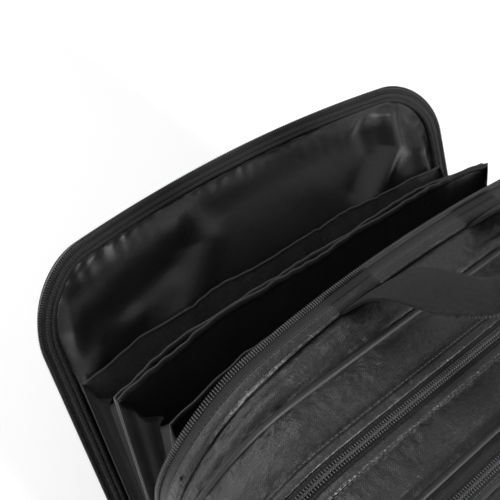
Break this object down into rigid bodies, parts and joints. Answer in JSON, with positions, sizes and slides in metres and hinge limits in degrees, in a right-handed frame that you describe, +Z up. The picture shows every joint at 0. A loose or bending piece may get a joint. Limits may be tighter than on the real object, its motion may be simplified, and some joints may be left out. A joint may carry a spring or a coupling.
{
  "type": "flight bag",
  "caption": "Soft-sided flight bag with an opened accordion file compartment in front, zipped main and rear compartments and webbing carry handles.",
  "frame": {"origin": "centre of the bounding box on the floor, with the front panel open", "axes": "X is the width, Y the depth with the open file compartment towards -Y, Z is up"},
  "size_m": [0.4452, 0.3484, 0.4153],
  "materials": {
    "body_fabric": "tightly woven nylon, matt with a slight sheen",
    "lining": "coated nylon taffeta, glossy",
    "webbing": "ribbed webbing",
    "binding": "ribbed grosgrain tape",
    "zipper": "woven zip tape with nylon coil",
    "piping": "fabric covered cord",
    "slider_metal": "black enamel, satin",
    "metal": "black nickel",
    "rubber": "matt",
    "board": "matt sheet"
  },
  "bodies": {
    "base_section": {"base_panel": "body_fabric", "base_board": "board", "base_feet": "rubber", "main_gusset_rear": "body_fabric", "divider_wall": "lining", "rear_gusset": "body_fabric", "back_panel": "body_fabric", "trolley_sleeve": "body_fabric", "piping_rear": "piping", "piping_back": "piping", "main_zip_rear": "zipper", "rear_zip": "zipper", "ring_tab_left": "webbing", "ring_tab_right": "webbing"},
    "front_section": {"file_gusset": "body_fabric", "shoulder_band": "body_fabric", "file_back_wall": "lining", "main_gusset_front": "body_fabric", "piping_front": "piping", "front_zip_body": "zipper", "main_zip_front": "zipper", "file_bellows_left": "lining", "file_bellows_right": "lining"},
    "rear_sheet": {"file_sheet_rear": "lining", "file_sheet_rear_binding": "binding"},
    "middle_sheet": {"file_sheet_middle": "lining", "file_sheet_middle_pocket": "lining", "file_sheet_middle_binding": "binding"},
    "front_sheet": {"file_sheet_front": "lining", "file_sheet_front_binding": "binding"},
    "front_panel": {"panel_shell": "body_fabric", "panel_board": "board", "panel_lining": "lining", "panel_binding": "binding", "panel_zip": "zipper", "panel_piping": "piping"},
    "front_handle": {"front_handle": "webbing"},
    "rear_handle": {"rear_handle": "webbing"},
    "strap_ring_left": {"strap_ring_left": "metal"},
    "strap_ring_right": {"strap_ring_right": "metal"},
    "front_slider_left": {"front_slider_left": "slider_metal"},
    "front_pull_left": {"front_pull_left": "slider_metal"},
    "front_slider_right": {"front_slider_right": "slider_metal"},
    "front_pull_right": {"front_pull_right": "slider_metal"},
    "main_slider_a": {"main_slider_a": "slider_metal"},
    "main_pull_a": {"main_pull_a": "slider_metal"},
    "main_slider_b": {"main_slider_b": "slider_metal"},
    "main_pull_b": {"main_pull_b": "slider_metal"},
    "rear_slider": {"rear_slider": "slider_metal"},
    "rear_pull": {"rear_pull": "slider_metal"}
  },
  "joints": [
    {"name": "main_opening", "type": "hinge", "parent": "base_section", "child": "front_section", "pos_m": [0, 0.01354, 0.008], "axis": [1, 0, 0], "range_deg": [0, 15]},
    {"name": "rear_sheet_hinge", "type": "hinge", "parent": "front_section", "child": "rear_sheet", "pos_m": [0, 0.01054, 0.015], "axis": [1, 0, 0], "range_deg": [-12.7, 0], "deforming": ["file_bellows_left", "file_bellows_right"]},
    {"name": "middle_sheet_hinge", "type": "hinge", "parent": "rear_sheet", "child": "middle_sheet", "pos_m": [0, 0.01054, 0.015], "axis": [1, 0, 0], "range_deg": [-10.15, 0]},
    {"name": "front_sheet_hinge", "type": "hinge", "parent": "middle_sheet", "child": "front_sheet", "pos_m": [0, 0.01054, 0.015], "axis": [1, 0, 0], "range_deg": [-7.75, 0]},
    {"name": "front_panel_hinge", "type": "hinge", "parent": "front_sheet", "child": "front_panel", "pos_m": [0, 0.01054, 0.015], "axis": [1, 0, 0], "range_deg": [-0.85, 0]},
    {"name": "front_handle_swing", "type": "hinge", "parent": "front_section", "child": "front_handle", "pos_m": [0, 0.02154, 0.3315], "axis": [1, 0, 0], "range_deg": [0, 60]},
    {"name": "rear_handle_swing", "type": "hinge", "parent": "base_section", "child": "rear_handle", "pos_m": [0, 0.16574, 0.3255], "axis": [1, 0, 0], "range_deg": [0, 175]},
    {"name": "ring_left_swing", "type": "hinge", "parent": "base_section", "child": "strap_ring_left", "pos_m": [-0.2181, 0.10804, 0.262], "axis": [0, 1, 0], "range_deg": [0, 150]},
    {"name": "ring_right_swing", "type": "hinge", "parent": "base_section", "child": "strap_ring_right", "pos_m": [0.2181, 0.10804, 0.262], "axis": [0, 1, 0], "range_deg": [-150, 0]},
    {"name": "front_left_slide", "type": "slide", "parent": "front_section", "child": "front_slider_left", "axis": [0, 0, 1], "range_m": [0, 0.18]},
    {"name": "front_right_slide", "type": "slide", "parent": "front_section", "child": "front_slider_right", "axis": [0, 0, 1], "range_m": [0, 0.18]},
    {"name": "front_left_pull", "type": "hinge", "parent": "front_slider_left", "child": "front_pull_left", "pos_m": [-0.219, 0.01534, 0.062], "axis": [0, 1, 0], "range_deg": [0, 150]},
    {"name": "front_right_pull", "type": "hinge", "parent": "front_slider_right", "child": "front_pull_right", "pos_m": [0.219, 0.01534, 0.062], "axis": [0, 1, 0], "range_deg": [-150, 0]},
    {"name": "main_slide_a", "type": "slide", "parent": "base_section", "child": "main_slider_a", "axis": [1, 0, 0], "range_m": [0, 0.2]},
    {"name": "main_slide_b", "type": "slide", "parent": "base_section", "child": "main_slider_b", "axis": [-1, 0, 0], "range_m": [0, 0.035]},
    {"name": "main_pull_a_lift", "type": "hinge", "parent": "main_slider_a", "child": "main_pull_a", "pos_m": [-0.088, 0.08354, 0.334], "axis": [0, 1, 0], "range_deg": [-150, 0]},
    {"name": "main_pull_b_lift", "type": "hinge", "parent": "main_slider_b", "child": "main_pull_b", "pos_m": [-0.104, 0.08354, 0.334], "axis": [0, 1, 0], "range_deg": [0, 150]},
    {"name": "rear_slide", "type": "slide", "parent": "base_section", "child": "rear_slider", "axis": [1, 0, 0], "range_m": [0, 0.27]},
    {"name": "rear_pull_lift", "type": "hinge", "parent": "rear_slider", "child": "rear_pull", "pos_m": [-0.138, 0.13654, 0.334], "axis": [0, 1, 0], "range_deg": [-150, 0]}
  ],
  "couplings": [
    {"joint": "middle_sheet_hinge", "follows": "rear_sheet_hinge", "ratio": 0.79528},
    {"joint": "front_sheet_hinge", "follows": "rear_sheet_hinge", "ratio": 0.6063},
    {"joint": "front_panel_hinge", "follows": "rear_sheet_hinge", "ratio": 0.062992}
  ]
}
